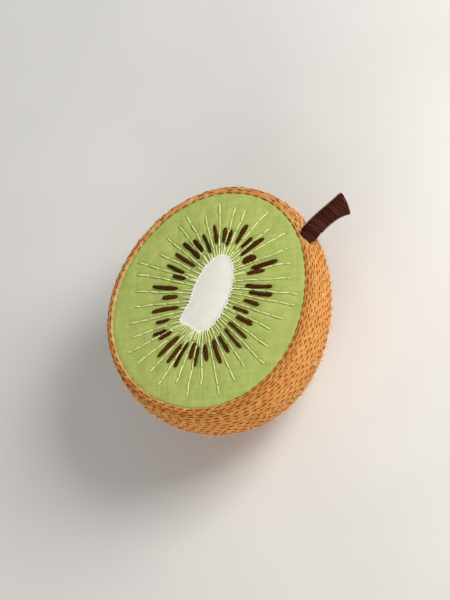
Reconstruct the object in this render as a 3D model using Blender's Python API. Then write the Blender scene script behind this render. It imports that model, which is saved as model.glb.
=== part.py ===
# Half a kiwi fruit made of cloth and thread, cut face up, resting on a small flat spot under its dome.
# Metres, +Z up. The origin is the middle of the flat spot. +X points to the stem, and -Y is the side
# on which the dome shows most in the usual view.

import math
import random

import bmesh
import bpy
from mathutils import Matrix, Vector

# Driving sizes of the fruit
FRUIT_LENGTH = 0.068
FRUIT_WIDTH = 0.060
LONG_AXIS_TURN = math.radians(38)
BLUNT_END_TURN = math.radians(23)
BLUNTNESS = 0.015
DOME_DEPTH = 0.0257
CUT_ABOVE_WIDEST = 0.0077
DOME_POWER = 2.1
FLAT_SPOT_CUT = 0.0004

# Cover, face and core
COVER_THICKNESS = 0.0016
RIM_RISE = 0.0004
RIM_ROUNDING = ((0.25, 0.75), (0.55, 1.0), (0.85, 0.6))
FIT_GAP = 0.0003
FACE_CROWN = 0.0007
FACE_EDGE_DROP = 0.0006
FACE_SHOULDER = 0.98
CORE_LENGTH = 0.0217
CORE_WIDTH = 0.0104
CORE_CENTRE = Vector((0.0013, 0.0008))
CORE_TURN = math.radians(32)
CORE_LOBE = 0.0030
CORE_LOBE_TURN = math.radians(146.5)
CORE_LOBE_SPREAD = math.radians(12.5)
CORE_ROUNDING = ((0.0006, 0.0003), (0.0021, 0.0005), (0.0040, 0.0006))
CORE_TAPER = ((0.0033, 0.0013), (0.0060, 0.0034))

# Seeds and rays stitched on the face
SEED_COUNT = 36
SEED_WIDTH = 0.0012
SEED_LENGTH = 0.0064
SEED_RING_GAP = 0.0030
SEED_TURN_SPREAD = 0.28
SEED_LENGTH_SPREAD = (0.62, 1.28)
SEED_WIDTH_SPREAD = (0.82, 1.2)
SEED_GAP_SPREAD = (-0.0012, 0.0016)
OUTER_SEED_EVERY = 3
OUTER_SEED_SHIFT = 0.0018
BROAD_SEED = 32
BROAD_SEED_WIDTH = 0.0026
SEED_RISE = 0.0002
SEED_SECTIONS = ((0, 0.5), (0.12, 1), (0.88, 1), (1, 0.5))
RAY_WIDTH = 0.00044
RAY_RISE = 0.00010
RAY_BEGIN = 0.02
RAY_TURN_SPREAD = (0.4, 0.6)
RAY_END_SPREAD = (0.70, 0.92)
RAY_SECTIONS = ((0, 1), (0.33, 1), (0.67, 1), (1, 0.6))
LAYOUT_DRAW = 358

# Stem, laid over the rim: three points of its middle line, measured from the cut, and its level widths
STEM_ROOT = Vector((0.0288, -0.0061, -0.0005))
STEM_WAIST = Vector((0.0362, -0.0047, -0.0014))
STEM_TIP = Vector((0.0439, -0.0053, -0.0022))
STEM_ROOT_WIDTH = 0.0058
STEM_WAIST_WIDTH = 0.0049
STEM_TIP_WIDTH = 0.0068
STEM_FLARE = 3
STEM_WAIST_AT = 0.5
STEM_FLATNESS = 0.6
STEM_TIP_SLANT = 0.0012
STEM_TIP_BLUNTNESS = 0.5
STEM_ROUNDING = ((0, 0.30), (0.03, 0.62), (0.08, 0.87), (0.15, 1))
STEM_CUT = ((0.97, 1), (1, 0.93))
STEM_SHAFT_RINGS = 5

# How finely the shapes are divided
TURNS = 64
DOME_RINGS = 14
POCKET_RINGS = 6
FACE_RINGS = 6
CORE_TURNS = 48
STEM_SIDES = 18
SEED_SIDES = 8
RAY_SIDES = 5
FACE_RING_SPREAD = 0.8
POCKET_REACH = 0.92
STEM_STEP = 0.01
SHARP_FROM = math.radians(40)

# Colours of the dyed cloth and thread
SKIN_COLOUR = (0.66, 0.30, 0.085)
FLESH_COLOUR = (0.40, 0.47, 0.14)
CORE_COLOUR = (0.76, 0.73, 0.65)
STEM_COLOUR = (0.060, 0.020, 0.010)

MEAN_RADIUS = (FRUIT_LENGTH + FRUIT_WIDTH) / 4
OVALNESS = (FRUIT_LENGTH - FRUIT_WIDTH) / (FRUIT_LENGTH + FRUIT_WIDTH)
CUT_HEIGHT = CUT_ABOVE_WIDEST + DOME_DEPTH - FLAT_SPOT_CUT
FACE_LAYOUT = random.Random(LAYOUT_DRAW)


def clear_scene():
    for old in list(bpy.data.objects):
        bpy.data.objects.remove(old)


def cloth(name, colour, roughness):
    made = bpy.data.materials.new(name)
    made.use_nodes = True
    shader = made.node_tree.nodes["Principled BSDF"]
    shader.inputs["Base Color"].default_value = (*colour, 1)
    shader.inputs["Roughness"].default_value = roughness
    shader.inputs["Metallic"].default_value = 0
    return made


def plan_radius(turn):
    """Outline of the fruit seen from above, at its widest level."""
    oval = OVALNESS * math.cos(2 * (turn - LONG_AXIS_TURN))
    blunt = BLUNTNESS * math.cos(3 * (turn - BLUNT_END_TURN))
    return MEAN_RADIUS * (1 + oval + blunt)


def girth(height, depth=DOME_DEPTH):
    """Share of the widest outline at a height above (or below) the widest level."""
    share = min(1, abs(height) / depth)
    return (1 - share**DOME_POWER) ** (1 / DOME_POWER)


def core_edge(turn, grow=0.0):
    """Point of the core's outline, with turn counted round the core from its long axis."""
    x = (CORE_LENGTH / 2 + grow) * math.cos(turn)
    y = (CORE_WIDTH / 2 + grow) * math.sin(turn)
    away = (math.atan2(y, x) - CORE_LOBE_TURN + math.pi) % (2 * math.pi) - math.pi
    fade = 1 + grow / (CORE_WIDTH / 2)
    lobe = 1 + fade * CORE_LOBE * math.exp(-((away / CORE_LOBE_SPREAD) ** 2)) / math.hypot(x, y)
    across = Vector((x * lobe, y * lobe))
    across.rotate(Matrix.Rotation(CORE_TURN, 2))
    return CORE_CENTRE + across


def face_edge(turn, inset=0.0):
    """Point of the cut face's outline on the same side as core_edge of that turn."""
    direction = turn + CORE_TURN
    reach = plan_radius(direction) * girth(CUT_ABOVE_WIDEST) - COVER_THICKNESS - inset
    return Vector((reach * math.cos(direction), reach * math.sin(direction)))


def face_point(turn, share, lift=0.0):
    """Point on the crowned face, share of the way from the core's edge to the face's edge."""
    flat = core_edge(turn, FIT_GAP).lerp(face_edge(turn, FIT_GAP), share)
    height = CUT_HEIGHT + FACE_CROWN * (1 - share**2) + lift
    return Vector((flat.x, flat.y, height))


def shade(mesh):
    mesh.shade_smooth()
    mesh.set_sharp_from_angle(angle=SHARP_FROM)


def loft(name, rings, material):
    """A closed solid through rings of points, each end filled with one face."""
    shape = bmesh.new()
    loops = [[shape.verts.new(point) for point in ring] for ring in rings]
    count = len(rings[0])
    for lower, upper in zip(loops, loops[1:]):
        for n in range(count):
            m = (n + 1) % count
            shape.faces.new((lower[n], lower[m], upper[m], upper[n]))
    shape.faces.new(reversed(loops[0]))
    shape.faces.new(loops[-1])
    bmesh.ops.recalc_face_normals(shape, faces=shape.faces)
    mesh = bpy.data.meshes.new(name)
    shape.to_mesh(mesh)
    shape.free()
    mesh.materials.append(material)
    shade(mesh)
    made = bpy.data.objects.new(name, mesh)
    bpy.context.collection.objects.link(made)
    return made


def turns(count=TURNS):
    return [2 * math.pi * n / count for n in range(count)]


def plan_ring(share, inset, height):
    """A level ring: the plan outline times share, taken in by inset."""
    ring = []
    for turn in turns():
        reach = plan_radius(turn) * share - inset
        ring.append(Vector((reach * math.cos(turn), reach * math.sin(turn), height)))
    return ring


def dome_levels(top, bottom, depth, count):
    """Heights from the widest level, going down, closer together where the dome turns under."""
    first = math.asin(top / depth)
    last = -math.asin(min(1, -bottom / depth))
    steps = [first + (last - first) * n / count for n in range(count + 1)]
    return [depth * math.sin(step) for step in steps]


def pocket_rings(inset, lift):
    """Rings of the hollow inside the cover, going down from the rim."""
    depth = DOME_DEPTH - COVER_THICKNESS
    rings = []
    for level in dome_levels(CUT_ABOVE_WIDEST, -POCKET_REACH * depth, depth, POCKET_RINGS):
        share = girth(level, depth) * girth(CUT_ABOVE_WIDEST) / girth(CUT_ABOVE_WIDEST, depth)
        rings.append(plan_ring(share, inset, CUT_HEIGHT - CUT_ABOVE_WIDEST + level + lift))
    return rings


def make_cover(material):
    """The stitched cover: a bowl with a rounded rim that holds the face's filling."""
    rings = []
    for level in reversed(dome_levels(CUT_ABOVE_WIDEST, FLAT_SPOT_CUT - DOME_DEPTH, DOME_DEPTH, DOME_RINGS)):
        rings.append(plan_ring(girth(level), 0, CUT_HEIGHT - CUT_ABOVE_WIDEST + level))
    for inset, rise in RIM_ROUNDING:
        rings.append(plan_ring(girth(CUT_ABOVE_WIDEST), COVER_THICKNESS * inset, CUT_HEIGHT + RIM_RISE * rise))
    return loft("skin", rings + pocket_rings(COVER_THICKNESS, 0), material)


def make_face(material):
    """The green filling, crowned on top, with a pocket for the core."""
    rings = list(reversed(pocket_rings(COVER_THICKNESS + FIT_GAP, FIT_GAP)[1:]))
    edge_height = Vector((0, 0, CUT_HEIGHT - FACE_EDGE_DROP))
    rings.append([face_edge(turn - CORE_TURN, FIT_GAP).to_3d() + edge_height for turn in turns()])
    for n in range(FACE_RINGS + 1):
        share = FACE_SHOULDER * (1 - n / FACE_RINGS) ** FACE_RING_SPREAD
        rings.append([face_point(turn - CORE_TURN, share) for turn in turns()])
    for depth, inward in CORE_TAPER:
        height = Vector((0, 0, CUT_HEIGHT - depth - FIT_GAP))
        rings.append([core_edge(turn - CORE_TURN, FIT_GAP - inward).to_3d() + height for turn in turns()])
    return loft("flesh", rings, material)


def core_ring(inward, height):
    return [core_edge(turn, -inward).to_3d() + Vector((0, 0, height)) for turn in turns(CORE_TURNS)]


def make_core(material):
    """The white core, crowned where it shows and drawn in below."""
    rings = [core_ring(inward, CUT_HEIGHT - depth) for depth, inward in reversed(CORE_TAPER)]
    rings.append(core_ring(0, CUT_HEIGHT + FACE_CROWN))
    for inward, rise in CORE_ROUNDING:
        rings.append(core_ring(inward, CUT_HEIGHT + FACE_CROWN + rise))
    return loft("core", rings, material)


def bar(name, line, half_widths, half_height, sides, material):
    """A bar with rounded ends along a line of points that lies nearly level."""
    rings = []
    for n, (point, half_width) in enumerate(zip(line, half_widths)):
        ahead = line[min(n + 1, len(line) - 1)] - line[max(n - 1, 0)]
        side = Vector((-ahead.y, ahead.x, 0)).normalized()
        ring = []
        for s in range(sides):
            turn = 2 * math.pi * (s + 0.5) / sides
            up = Vector((0, 0, half_height * half_width / max(half_widths) * math.sin(turn)))
            ring.append(point + side * half_width * math.cos(turn) + up)
        rings.append(ring)
    return loft(name, rings, material)


def seed_marks():
    """Turn, inner share, outer share and width of each seed, spread evenly round the core."""
    marks = []
    for n in range(SEED_COUNT):
        turn = 2 * math.pi * (n + FACE_LAYOUT.uniform(-SEED_TURN_SPREAD, SEED_TURN_SPREAD)) / SEED_COUNT
        reach = (face_edge(turn) - core_edge(turn)).length
        length = SEED_LENGTH * FACE_LAYOUT.uniform(*SEED_LENGTH_SPREAD)
        shift = OUTER_SEED_SHIFT if n % OUTER_SEED_EVERY == 1 else 0
        begin = SEED_RING_GAP + FACE_LAYOUT.uniform(*SEED_GAP_SPREAD) + shift
        width = SEED_WIDTH * FACE_LAYOUT.uniform(*SEED_WIDTH_SPREAD)
        if n == BROAD_SEED:
            width = BROAD_SEED_WIDTH
        marks.append((turn, begin / reach, (begin + length) / reach, width))
    return marks


def ray_marks(seeds):
    """Turn and outer share of each long ray, one between each two seeds."""
    turns_of_seeds = [seed[0] for seed in seeds] + [seeds[0][0] + 2 * math.pi]
    marks = []
    for before, after in zip(turns_of_seeds, turns_of_seeds[1:]):
        turn = before + (after - before) * FACE_LAYOUT.uniform(*RAY_TURN_SPREAD)
        marks.append((turn, FACE_LAYOUT.uniform(*RAY_END_SPREAD)))
    return marks


def make_seeds(seeds, material):
    made = []
    for n, (turn, begin, end, width) in enumerate(seeds):
        line = [face_point(turn, begin + (end - begin) * step, SEED_RISE) for step, _ in SEED_SECTIONS]
        half_widths = [width / 2 * share for _, share in SEED_SECTIONS]
        half_height = min(width, SEED_WIDTH) / 2
        made.append(bar(f"seed_{n}", line, half_widths, half_height, SEED_SIDES, material))
    return made


def make_rays(rays, material):
    made = []
    for n, (turn, end) in enumerate(rays):
        line = [face_point(turn, RAY_BEGIN + (end - RAY_BEGIN) * step, RAY_RISE) for step, _ in RAY_SECTIONS]
        half_widths = [RAY_WIDTH / 2 * share for _, share in RAY_SECTIONS]
        made.append(bar(f"ray_{n}", line, half_widths, RAY_WIDTH / 2, RAY_SIDES, material))
    return made


def fuse(face, made):
    """Join the small pieces to the face by one union."""
    stitches = bpy.data.collections.new("stitches")
    bpy.context.scene.collection.children.link(stitches)
    for stitch in made:
        bpy.context.collection.objects.unlink(stitch)
        stitches.objects.link(stitch)
    union = face.modifiers.new("stitches", "BOOLEAN")
    union.operation = "UNION"
    union.operand_type = "COLLECTION"
    union.collection = stitches
    apply_modifiers(face)
    for stitch in made:
        bpy.data.objects.remove(stitch)
    bpy.data.collections.remove(stitches)


def apply_modifiers(made):
    graph = bpy.context.evaluated_depsgraph_get()
    mesh = bpy.data.meshes.new_from_object(made.evaluated_get(graph))
    made.modifiers.clear()
    made.data = mesh
    shade(mesh)


def stem_width(along):
    """Full width of the stem, narrowest at its waist."""
    if along < STEM_WAIST_AT:
        flare = (1 - along / STEM_WAIST_AT) ** 2
        return STEM_WAIST_WIDTH + (STEM_ROOT_WIDTH - STEM_WAIST_WIDTH) * flare
    flare = ((along - STEM_WAIST_AT) / (1 - STEM_WAIST_AT)) ** STEM_FLARE
    return STEM_WAIST_WIDTH + (STEM_TIP_WIDTH - STEM_WAIST_WIDTH) * flare


def stem_point(along):
    """Point on the stem's middle line, a curve through its three named points."""
    bend = STEM_WAIST * 2 - (STEM_ROOT + STEM_TIP) / 2
    return STEM_ROOT * (1 - along) ** 2 + bend * 2 * along * (1 - along) + STEM_TIP * along**2


def stem_ahead(along):
    """Direction in which the stem's middle line runs."""
    return (stem_point(min(1, along + STEM_STEP)) - stem_point(max(0, along - STEM_STEP))).normalized()


def stem_ring(along, grow, share=1.0):
    """One section of the stem: an oval, slanted more and more towards the cut tip."""
    ahead = stem_ahead(along)
    side = Vector((0, 0, 1)).cross(ahead).normalized()
    up = ahead.cross(side)
    half = (stem_width(along) / 2 + grow) * share
    ring = []
    for n in range(STEM_SIDES):
        turn = 2 * math.pi * n / STEM_SIDES
        slant = ahead * STEM_TIP_SLANT / 2 * min(math.cos(turn), STEM_TIP_BLUNTNESS) * along**3 * share
        out = side * half * math.cos(turn) + up * half * STEM_FLATNESS * math.sin(turn)
        ring.append(stem_point(along) + out + slant + Vector((0, 0, CUT_HEIGHT)))
    return ring


def make_stem(name, material, grow=0.0):
    """The stem, rounded at its root and cut off slantwise at its tip."""
    begin = STEM_ROUNDING[-1][0]
    step = (STEM_CUT[0][0] - begin) / (STEM_SHAFT_RINGS + 1)
    shaft = [(begin + step * n, 1) for n in range(1, STEM_SHAFT_RINGS + 1)]
    sections = [*STEM_ROUNDING, *shaft, *STEM_CUT]
    return loft(name, [stem_ring(along, grow, share) for along, share in sections], material)


def cut_stem_socket(cover, material):
    """A shallow hole in the cover for the stem's root, clear of it all round."""
    cutter = make_stem("stem_socket", material, FIT_GAP)
    cutter.data.transform(Matrix.Translation(-stem_ahead(0) * FIT_GAP))
    cut = cover.modifiers.new("socket", "BOOLEAN")
    cut.operation = "DIFFERENCE"
    cut.object = cutter
    apply_modifiers(cover)
    bpy.data.objects.remove(cutter)


def main():
    clear_scene()
    skin_thread = cloth("skin_thread", SKIN_COLOUR, 0.85)
    flesh_cloth = cloth("flesh_cloth", FLESH_COLOUR, 0.9)
    core_cloth = cloth("core_cloth", CORE_COLOUR, 0.9)
    stem_thread = cloth("stem_thread", STEM_COLOUR, 0.8)
    cover = make_cover(skin_thread)
    cut_stem_socket(cover, skin_thread)
    face = make_face(flesh_cloth)
    seeds = seed_marks()
    rays = ray_marks(seeds)
    fuse(face, make_seeds(seeds, flesh_cloth) + make_rays(rays, flesh_cloth))
    make_core(core_cloth)
    make_stem("stem", stem_thread)


main()
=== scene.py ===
import math
import random

import bpy
import numpy as np
from mathutils import Matrix, Vector


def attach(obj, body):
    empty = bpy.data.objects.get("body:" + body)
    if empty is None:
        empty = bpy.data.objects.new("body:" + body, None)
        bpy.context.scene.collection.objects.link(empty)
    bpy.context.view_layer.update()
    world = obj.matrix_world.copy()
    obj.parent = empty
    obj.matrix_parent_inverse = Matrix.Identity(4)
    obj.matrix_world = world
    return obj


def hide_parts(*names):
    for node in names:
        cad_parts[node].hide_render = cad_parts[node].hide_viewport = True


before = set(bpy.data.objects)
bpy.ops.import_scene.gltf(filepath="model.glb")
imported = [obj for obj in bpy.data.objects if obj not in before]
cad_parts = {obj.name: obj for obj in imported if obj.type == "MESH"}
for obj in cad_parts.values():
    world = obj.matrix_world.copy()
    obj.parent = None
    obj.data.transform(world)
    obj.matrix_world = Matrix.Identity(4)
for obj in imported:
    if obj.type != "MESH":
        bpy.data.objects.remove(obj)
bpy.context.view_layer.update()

# Sizes of the fruit half, in metres, as the solids have them
FRUIT_LENGTH = 0.068
FRUIT_WIDTH = 0.060
LONG_AXIS_TURN = math.radians(38)
BLUNT_END_TURN = math.radians(23)
BLUNTNESS = 0.015
DOME_DEPTH = 0.0257
CUT_ABOVE_WIDEST = 0.0077
DOME_POWER = 2.1
FLAT_SPOT_CUT = 0.0004
COVER_THICKNESS = 0.0016
RIM_RISE = 0.0004
RIM_SECTION = ((1.16, 0.35), (1.0, 0.7), (0.8, 0.95), (0.5, 1.0), (0.25, 0.75))
FIT_GAP = 0.0003
FACE_CROWN = 0.0007
CORE_LENGTH = 0.0217
CORE_WIDTH = 0.0104
CORE_CENTRE = np.array([0.0013, 0.0008])
CORE_TURN = math.radians(32)
CORE_LOBE = 0.0030
CORE_LOBE_TURN = math.radians(146.5)
CORE_LOBE_SPREAD = math.radians(12.5)
MEAN_RADIUS = (FRUIT_LENGTH + FRUIT_WIDTH) / 4
OVALNESS = (FRUIT_LENGTH - FRUIT_WIDTH) / (FRUIT_LENGTH + FRUIT_WIDTH)
CUT_HEIGHT = CUT_ABOVE_WIDEST + DOME_DEPTH - FLAT_SPOT_CUT

# Seeds and rays, laid out as on the solids
SEED_COUNT = 36
SEED_WIDTH = 0.0012
SEED_LENGTH = 0.0064
SEED_RING_GAP = 0.0030
SEED_TURN_SPREAD = 0.28
SEED_LENGTH_SPREAD = (0.62, 1.28)
SEED_WIDTH_SPREAD = (0.82, 1.2)
SEED_GAP_SPREAD = (-0.0012, 0.0016)
OUTER_SEED_EVERY = 3
OUTER_SEED_SHIFT = 0.0018
BROAD_SEED = 32
BROAD_SEED_WIDTH = 0.0026
SEED_RISE = 0.0002
RAY_RISE = 0.00010
RAY_TURN_SPREAD = (0.4, 0.6)
RAY_END_SPREAD = (0.70, 0.92)
LAYOUT_DRAW = 358

# Stem, laid over the rim: three points of its middle line, measured from the cut, and its level widths
STEM_ROOT = Vector((0.0288, -0.0061, -0.0005))
STEM_WAIST = Vector((0.0362, -0.0047, -0.0014))
STEM_TIP = Vector((0.0439, -0.0053, -0.0022))
STEM_ROOT_WIDTH = 0.0058
STEM_WAIST_WIDTH = 0.0049
STEM_TIP_WIDTH = 0.0068
STEM_FLARE = 3
STEM_WAIST_AT = 0.5
STEM_FLATNESS = 0.6
STEM_TIP_SLANT = 0.0012
STEM_TIP_BLUNTNESS = 0.5
STEM_SLANT_POWER = 3
STEM_STEP = 0.01
STEM_LINE_POINTS = 25

# Satin stitches round the stem, those that close its end, and the grey thread along its sides
WRAP_SIDES = 48
WRAP_FIRST_RINGS = (0, 0.002, 0.006)
WRAP_RINGS = np.linspace(0.012, 0.985, 240)
WRAP_LAST_RINGS = (0.993, 1.0)
WRAP_ROUND_UNTIL = 0.15
WRAP_LEAST_ROUND = 0.02
WRAP_TIP_SHARE = 0.95
WRAP_LENGTH = 0.0151
WRAP_PITCH = 0.00063
WRAP_SLANTS = (0.02, 0.22)
WRAP_WANDER = ((0.14, 17, 2.2), (0.06, 61, -3))
WRAP_FIRST_STITCH = 2
# WRAP_GROOVE and CAP_GROOVE are powers that shape the painted shade between the stem's stitches.
WRAP_GROOVE = 0.45
WRAP_RISE = 0.00026
WRAP_MIDDLE = 0.7
WRAP_CORNER = 0.13
WRAP_CORNER_FROM = 0.94
WRAP_TONES = 64
WRAP_DRAW = 31
CAP_SHARES = np.linspace(0.9, 0.06, 14)
CAP_BULGE = 0.0002
CAP_RISE = 0.00010
CAP_FIRST_STITCH = 8.3
CAP_GROOVE = 0.55
EDGING_RADIUS = 0.00020
EDGING_LIFT = 0.00005
EDGING_UPPER = math.radians(27)
EDGING_LOWER = math.radians(197)
EDGING_BEGIN = 0.28
EDGING_END = 0.30
EDGING_TIP = 0.995
EDGING_POINTS = 24
EDGING_TIP_POINTS = 9

# Cover stitches
RIM_ROW_PITCH = 0.00086
LOW_ROW_PITCH = 0.0016
ROW_PITCHES = ((0.0024, RIM_ROW_PITCH), (0.0036, 0.0012), (0.0100, LOW_ROW_PITCH))
RIM_ROWS = 3
STITCH_LENGTH = 0.0026
STITCH_THICKNESS = 0.00046
STITCH_SLANT = 0.2
SLANT_TURN = math.radians(277)
STITCH_SECTION = ((1, -0.3), (0.8, 0.45), (0.42, 0.92), (0, 0.45), (-0.42, 0.92), (-0.8, 0.45), (-1, -0.3),
                  (0, -0.9))
STITCH_STEPS = np.array([-1, -0.7, 0, 0.62, 0.86, 1])
STITCH_TAPER = np.array([0.75, 0.97, 1, 0.96, 0.72, 0.2])
STITCH_HEIGHTS = np.array([0.8, 0.97, 1, 0.95, 0.75, 0.3])
STITCH_DIPS = np.array([-1.0, -0.66, -0.52, -0.48, -0.56, -0.85])
STITCH_GROWTH = 0.1
STITCH_TURN_SPREAD = 0.06
STITCH_ROW_SPREAD = 0.05
STITCH_HALF_SPREAD = (0.58, 0.64)
STITCH_WIDTH_SPREAD = (0.50, 0.55)
STITCH_LEAN_SPREAD = 0.06
STITCH_DRAW = 5

# Dark threads between the stitches, and where the cover is pale
FLECK_LENGTH = 0.0024
RIM_FLECK_WIDTH = 0.00030
FLECK_WIDTH = 0.00034
FLECK_TILT = 0.25
RIM_FLECK_LIFT = 0.00009
FLECK_STEPS = np.array([-1, -0.6, 0, 0.6, 1])
FLECK_TAPER = np.array([0.35, 0.9, 1, 0.9, 0.35])
FLECK_DIPS = np.array([-0.75, -0.36, -0.28, -0.36, -0.75])
FLECK_TURN_SPREAD = 0.10
FLECK_ROW_SPREAD = 0.04
FLECK_LENGTH_SPREAD = (0.7, 1.15)
FLECK_LEAN_SPREAD = 0.04
PALE_ROW_TURN = math.radians(171)
PALE_ROW_STRENGTH = 1.5
PALE_ROW_EDGE = 0.4
PALE_RIM_TURN = math.radians(55)
PALE_RIM_STRENGTH = 0.35
PALE_RIM_SPREAD = (0.3, 1.7)
PALE_ROWS = 5
PALE_REACH = 0.0050

# Room left for the stem, as shares of its half width
STITCH_CLEARANCE = 0.4
FLECK_CLEARANCE = 0.8
FIBRE_CLEARANCE = 1.1
BASE_CLEARANCE = 1.15

# Backing cloth under the stitches
BASE_TURNS = 180
BASE_ROWS = 70
BASE_BEGIN = 0.0007
BASE_END_GAP = 0.0003
BASE_DEPTH = 0.00045
BASE_LOWEST = 0.0001
BASE_DENT = 0.0018
BASE_RECESS = 0.0055

# Fuzz
FIBRE_COUNT = 2200
FIBRE_RADIUS = 0.00010
FIBRE_LENGTHS = (0.0008, 0.0016)
FIBRE_BEGIN = 0.0015
FIBRE_END_GAP = 0.007
FIBRE_LOWEST = 0.0018
FIBRE_ROOT_DEPTH = 0.00015
FIBRE_LEAN = 0.45
FIBRE_BEND = 0.35
FIBRE_ASIDE = 0.3
FIBRE_TAPER = np.array([1, 0.7, 0.15])
FIBRE_DRAW = 9

# Long rays, in back stitches, and short rays
RAY_STITCH = 0.0036
RAY_STITCH_SPREAD = (0.8, 1.2)
RAY_STITCH_GAP = 0.0001
RAY_RADIUS = 0.00019
RAY_TUCK = 0.0004
RAY_LEAST_SHARE = 0.03
RAY_WOBBLE = 0.010
RAY_STEPS = np.array([0, 0.08, 0.3, 0.6, 0.92, 1])
RAY_TAPER = np.array([0.6, 0.95, 1, 1, 0.9, 0.5])
RAY_ARCH = np.array([-0.00022, 0.00002, 0.00010, 0.00010, 0.00002, -0.00022])
SHORT_RAY_COUNT = 54
SHORT_RAY_LENGTHS = (0.0030, 0.0060)
SHORT_RAY_SPREAD = 0.03
SHORT_RAY_LEAN = 0.02
SHORT_RAY_TUCK = 0.0002
SHORT_RAY_GAP = 0.0003
SHORT_RAY_LEAST_SHARE = 0.04
SHORT_RAY_THICKNESS = 0.78
SEED_HALF_TURN = 0.055

# Padding and winding of the seeds
SEED_RINGS = 29
SEED_SWAY = 0.007
SEED_SWAY_WAVES = 4.5
SEED_SWELL = 0.9
SEED_SQUARENESS = 7
SEED_END = 0.10
SEED_WINDING = 0.00092
SEED_GIRTH = 0.95
SEED_WINDING_RELIEF = 0.13
SEED_LUMPS = ((6, 0.10), (17, 0.06))
SEED_FLATNESS = 0.85
BROAD_FROM = 1.5 * SEED_WIDTH
BROAD_SQUARENESS = 2.5
BROAD_RELIEF = 0.4

# Green cloth
CLOTH_TURNS = 480
CLOTH_RINGS = 66
CLOTH_REACH = 1.012
CLOTH_WALL = 0.0035
CLOTH_PULL = 0.00016
CLOTH_PULL_WIDTH = 0.00035
CLOTH_PUFF = 0.00012
CLOTH_PUFF_WIDTH = 0.0013
CLOTH_RIPPLE = 0.00004
CLOTH_EDGE_DROP = 0.00012
CLOTH_EDGE_FROM = 0.97
CLOTH_SHADE_WIDTH = 0.00045
WEAVE_TURN = math.radians(50)

# White core and its frayed edge
CORE_TURNS = 144
CORE_SIDE = ((0.0013, -0.0033), (0.0, -0.0002), (-0.00033, 0.00016))
CORE_STEPS = (-0.06, -0.04, 0, 0.06, 0.12, 0.2, 0.3, 0.4, 0.5, 0.6, 0.7, 0.8, 0.9, 0.96)
CORE_TOP_RISE = 0.0003
CORE_WAVES = ((0.00010, 17, 0), (0.00008, 41, 1))
CORE_LUMP = 0.00002
CORE_LUMP_FROM = 0.0001
FRINGE_COUNT = 84
FRINGE_SPREAD = 0.3
FRINGE_BEGIN = 0.0001
FRINGE_STEP = 0.001
FRINGE_LENGTHS = (0.0007, 0.0015)
FRINGE_RADIUS = 0.00022
FRINGE_RADIUS_SPREAD = (0.7, 1.2)
FRINGE_FLATNESS = 0.8
FRINGE_STEPS = np.array([0, 0.2, 0.6, 1])
FRINGE_TAPER = np.array([0.8, 1, 0.85, 0.2])
FRINGE_RISES = np.array([0.00020, 0.00030, 0.00024, 0.00012])
FACE_DRAW = 23

# How finely the cover's surface is followed
DOME_LEVELS = 120
SPOT_SHARES = (0.75, 0.5, 0.25, 0.02)
NORMAL_STEP = 0.01
NORMAL_SPAN = 0.0006
UP = np.array([0.0, 0, 1])

# Photo camera: it looks down on the cut from the -Y side, rolled until the stem points to the upper right
CAMERA_ELEVATION = math.radians(58)
CAMERA_ROLL = math.radians(43)
CAMERA_LENS = 200
FRAME_HEIGHT = 0.1591
SENSOR_SIZE = 36
AIM_RIGHT = 0.0039

# Floor and lights. A light has its direction as right, up and back of the camera, then its distance,
# size, power and colour.
FLOOR_HALF = 1.5
LIGHTS = {
    "key": ((0.58, 0.68, 0.8), 0.44, 0.23, 2.15, (1, 0.985, 0.96)),
    "fill": ((-0.15, -0.72, 0.75), 1.5, 1.3, 13.8, (1, 0.985, 0.955)),
}
SKY_COLOUR = (0.95, 0.97, 1, 1)
SKY_STRENGTH = 0.31

FACE_LAYOUT = random.Random(LAYOUT_DRAW)


# Shapes shared with the solids

def plan_radius(turn):
    """Outline of the fruit seen from above, at its widest level."""
    oval = OVALNESS * np.cos(2 * (turn - LONG_AXIS_TURN))
    blunt = BLUNTNESS * np.cos(3 * (turn - BLUNT_END_TURN))
    return MEAN_RADIUS * (1 + oval + blunt)


def girth(height):
    """Share of the widest outline at a height above or below the widest level."""
    share = np.minimum(1, np.abs(height) / DOME_DEPTH)
    return (1 - share**DOME_POWER) ** (1 / DOME_POWER)


def core_edge(turn, grow=0.0):
    """Points of the core's outline, with turn counted round the core from its long axis."""
    x = (CORE_LENGTH / 2 + grow) * np.cos(turn)
    y = (CORE_WIDTH / 2 + grow) * np.sin(turn)
    away = (np.arctan2(y, x) - CORE_LOBE_TURN + math.pi) % (2 * math.pi) - math.pi
    fade = 1 + grow / (CORE_WIDTH / 2)
    lobe = 1 + fade * CORE_LOBE * np.exp(-((away / CORE_LOBE_SPREAD) ** 2)) / np.hypot(x, y)
    x, y = x * lobe, y * lobe
    cosine, sine = math.cos(CORE_TURN), math.sin(CORE_TURN)
    return CORE_CENTRE + np.stack([x * cosine - y * sine, x * sine + y * cosine], axis=-1)


def face_edge(turn, inset=0.0):
    """Points of the cut face's outline on the same side as core_edge of that turn."""
    direction = turn + CORE_TURN
    reach = plan_radius(direction) * girth(CUT_ABOVE_WIDEST) - COVER_THICKNESS - inset
    return np.stack([reach * np.cos(direction), reach * np.sin(direction)], axis=-1)


def face_point(turn, share, lift=0.0):
    """Points on the crowned face, share of the way from the core's edge to the face's edge."""
    turn, share, lift = np.broadcast_arrays(*map(np.asarray, (turn, share, lift)))
    inner = core_edge(turn, FIT_GAP)
    flat = inner + (face_edge(turn, FIT_GAP) - inner) * share[..., None]
    height = CUT_HEIGHT + FACE_CROWN * (1 - share**2) + lift
    return np.concatenate([flat, height[..., None]], axis=-1)


def face_reach(turn):
    return float(np.linalg.norm(face_edge(np.asarray(turn)) - core_edge(np.asarray(turn))))


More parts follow.
